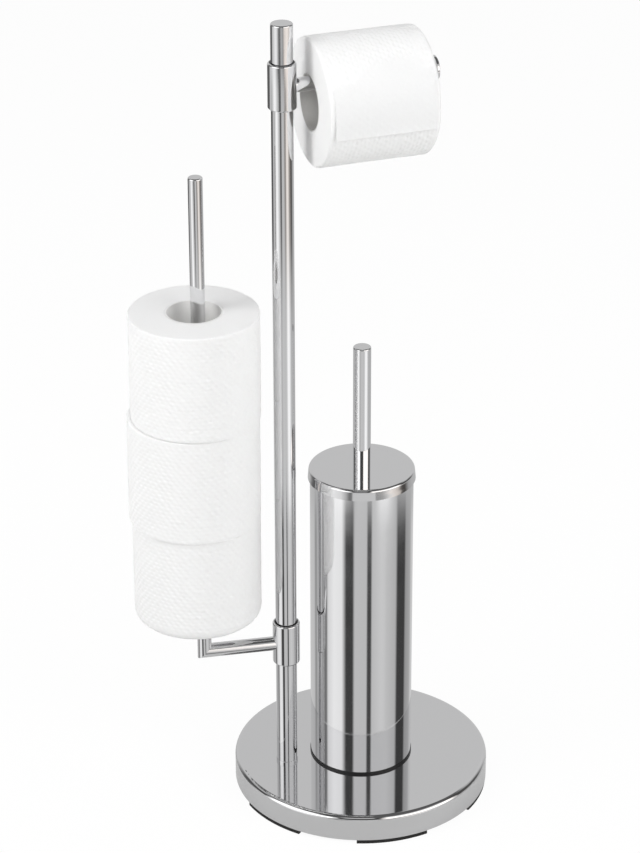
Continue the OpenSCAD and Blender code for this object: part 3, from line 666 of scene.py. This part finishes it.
def makeRoll(name, radius, height, axes, look):
    half, bore, seed = height / 2, look["bore"], look["seed"]
    piece = finishPiece(name, spinRoll(radius, height, look), tissue, look["body"])
    points = readPoints(piece.data)
    x, y, z = points.T
    r, turn = np.hypot(x, y), np.arctan2(y, x)
    edge = np.where(z < 0, *look["edges"])
    inEdge = np.abs(z) > half - edge - look["same"]
    rim = np.where(inEdge, np.clip(1 - (radius - r) / edge, 0, 1), 1.0)
    onSide = r > radius - look["sideBand"]
    share = np.mod(turn - look["seamAt"], 2 * math.pi) / (2 * math.pi)
    push = look["sway"] * softNoise(turn, z, seed) * rim - look["layer"] * share * rim
    dents = dentDepth(turn * radius, z, look, 2 * math.pi * radius, seed)
    push -= np.where(onSide, 1.0, look["edgeDents"] * rim) * dents
    push[r < bore + look["boreBand"]] = 0
    reach = np.clip((r - bore) / (radius - bore), 0, 1)
    swell = look["endSway"] * softNoise(turn, r * look["endSlow"], seed + look["endSeed"])
    swell *= np.sin(math.pi * np.minimum(1, reach * look["endFade"]))
    onEnd = (np.abs(z) > half - edge) & (r > bore + look["boreBand"])
    lift = np.where(onEnd, swell - look["endSink"] * reach, 0)
    moved = np.column_stack((x + push * np.cos(turn), y + push * np.sin(turn), z + np.sign(z) * lift))
    writePoints(piece.data, moved, axes, np.where(onSide, radius, r))
    return piece


def uprightAt(node):
    low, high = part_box(node)
    axes = Matrix.Translation((low + high) / 2) @ Matrix.Rotation(-math.pi / 2, 4, "Z")
    return axes, (high.x - low.x) / 2, high.z - low.z


# The spare rolls differ in where the outer layer's glued end is, and the bottom one has a softer lower edge
spares = {
    "topSpareRoll": {"node": "spare_roll_top", "body": "top_spare", "seed": 1, "seamAt": 2.6},
    "middleSpareRoll": {"node": "spare_roll_middle", "body": "middle_spare", "seed": 2, "seamAt": 3.6},
    "bottomSpareRoll": {"node": "spare_roll_bottom", "body": "bottom_spare", "seed": 3, "seamAt": 2.9,
                        "edges": (0.0080, 0.0014)},
}
for name, spare in spares.items():
    axes, radius, height = uprightAt(spare["node"])
    piece = makeRoll(name, radius, height, axes, {**rollShape, **spare})
    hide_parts(spare["node"])
print("spare rolls wound")

# The hanging roll: its axis follows the arm
hanging = {
    "body": "hanging_roll",
    "radius": 0.053,
    "height": 0.093,
    "turn": math.radians(3),             # the arm's turn from +X
    "edges": (0.0022, 0.0040),
    "seamAt": math.pi * 0.75,
    "seed": 4,
}
coreLow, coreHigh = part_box("paper_roll_core")
hangMid = (coreLow + coreHigh) / 2
armWay = Vector((math.cos(hanging["turn"]), math.sin(hanging["turn"]), 0))
frontWay = Vector((math.sin(hanging["turn"]), -math.cos(hanging["turn"]), 0))
hangTurn = Matrix((frontWay, armWay.cross(frontWay), armWay)).transposed().to_4x4()
hangAxes = Matrix.Translation(hangMid) @ hangTurn
hangShape = {**rollShape, **hanging}
hangRoll = makeRoll("hangingRoll", hanging["radius"], hanging["height"], hangAxes, hangShape)
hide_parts("paper_roll")

# Its loose sheet. The waves are in radians per metre
looseSheet = {
    "width": 0.085,
    "wraps": math.radians(62),           # it lies on the roll from this far above the front
    "drop": 0.015,                       # and hangs down this far from there
    "thick": 0.0005,
    "grid": (104, 96),
    "dents": 0.5,                        # its embossing, against the roll's
    "rise": (-0.0008, 0.0008),           # from under the roll's outer layer to clear of it
    "ripple": 0.0003,
    "rippleWaves": (70, 60),
    "curl": 0.0006,                      # the free end leans back towards the roll
    "flutter": 0.0005,                   # and its edge waves in and out
    "flutterWave": 90,
    "phase": 1,
    "tear": 0.0002,                      # small teeth along the torn end
    "tearWave": 2400,
    "tearFrom": 0.985,                   # share of the drop
}


def makeLooseSheet(look, roll, axes):
    # The outer layer: flush with the roll at the top, it leaves the roll at the front and hangs straight down
    bm = bmesh.new()
    radius, phase, drop = roll["radius"], look["phase"], look["drop"]
    wrap = look["wraps"] * radius
    length = wrap + drop
    bmesh.ops.create_grid(bm, x_segments=look["grid"][0], y_segments=look["grid"][1], size=0.5)
    bmesh.ops.solidify(bm, geom=list(bm.faces), thickness=-1.0)
    bmesh.ops.recalc_face_normals(bm, faces=list(bm.faces))
    piece = finishPiece("looseSheet", bm, tissue, roll["body"])
    points = readPoints(piece.data)
    across, along = points[:, 0] * look["width"], (points[:, 1] + 0.5) * length
    layer = np.abs(points[:, 2])         # 0 on the outer face, 1 on the inner one
    dent = dentDepth(along, across, roll, 2 * math.pi * radius, roll["seed"]) * look["dents"]
    waveAcross, waveAlong = look["rippleWaves"]
    ripple = look["ripple"] * np.sin(across * waveAcross + phase) * np.sin(along * waveAlong)
    riseFrom, riseTo = look["rise"]
    rise = np.minimum(1, along / wrap) * (riseTo - riseFrom) + riseFrom
    below = np.maximum(0, along - wrap)
    share = below / drop
    out = radius + rise - dent + ripple - look["thick"] * layer
    out += -look["curl"] * share ** 2 + look["flutter"] * np.sin(across * look["flutterWave"] + phase) * share
    turn = -np.maximum(0, look["wraps"] - along / radius)
    tear = look["tear"] * np.sin(across * look["tearWave"]) * (share > look["tearFrom"])
    moved = np.column_stack((out * np.cos(turn), out * np.sin(turn) + below + tear, across))
    writePoints(piece.data, moved, axes, np.full(len(out), radius))
    return piece


sheet = makeLooseSheet(looseSheet, hangShape, hangAxes)
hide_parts("paper_roll")
print("hanging roll and its loose sheet made")

# Brush head
brushHead = {
    "rings": 26,
    "perRing": 30,
    "root": 0.0088,                      # where a bristle starts, from the middle
    "reach": 0.036,                      # where the longest end
    "shares": (0.62, 0.84, 0.95, 1.0),   # of the reach, from an end of the head inwards
    "shareRings": 3,                     # rings from one share to the next
    "lengths": (0.955, 0.995),
    "thick": 0.0011,
    "tip": 0.0006,
    "sides": 6,
    "turnStray": 0.25,                   # share of the space between two bristles
    "leanStray": 0.05,                   # slopes up or down
    "fan": 0.10,                         # the rings at the two ends slope outwards
    "seed": 11,
}


def makeBristles(look):
    random.seed(look["seed"])
    low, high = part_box("brush_bristles")
    mid = (low + high) / 2
    bm = bmesh.new()
    rings, shares = look["rings"], look["shares"]
    turnStray, leanStray = look["turnStray"], look["leanStray"]
    for i in range(rings):
        z = low.z + (i + 0.5) / rings * (high.z - low.z)
        fromEnd = min(i, rings - 1 - i) / look["shareRings"]
        reach = look["reach"] * float(np.interp(fromEnd, range(len(shares)), shares))
        for j in range(look["perRing"]):
            place = j + 0.5 * (i % 2) + random.uniform(-turnStray, turnStray)
            turn = 2 * math.pi * place / look["perRing"]
            lean = random.uniform(-leanStray, leanStray) - look["fan"] * (1 - 2 * i / (rings - 1))
            length = reach * random.uniform(*look["lengths"]) - look["root"]
            outwards = Vector((math.cos(turn), math.sin(turn), 0))
            way = Vector((math.cos(turn), math.sin(turn), lean)).normalized()
            centre = Vector((mid.x, mid.y, z)) + outwards * look["root"] + way * length / 2
            spin = way.to_track_quat("Z", "Y").to_matrix().to_4x4()
            bmesh.ops.create_cone(bm, cap_ends=True, segments=look["sides"], radius1=look["thick"],
                                  radius2=look["tip"], depth=length, matrix=Matrix.Translation(centre) @ spin)
    return finishPiece("bristles", bm, bristlePlastic, "brush")


bristles = makeBristles(brushHead)
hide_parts("brush_bristles")
print("brush head made")

# Overall sizes of the imported parts. Sizes for the size rule
print("cad box", [round(b - a, 4) for a, b in zip(*cadBox)])
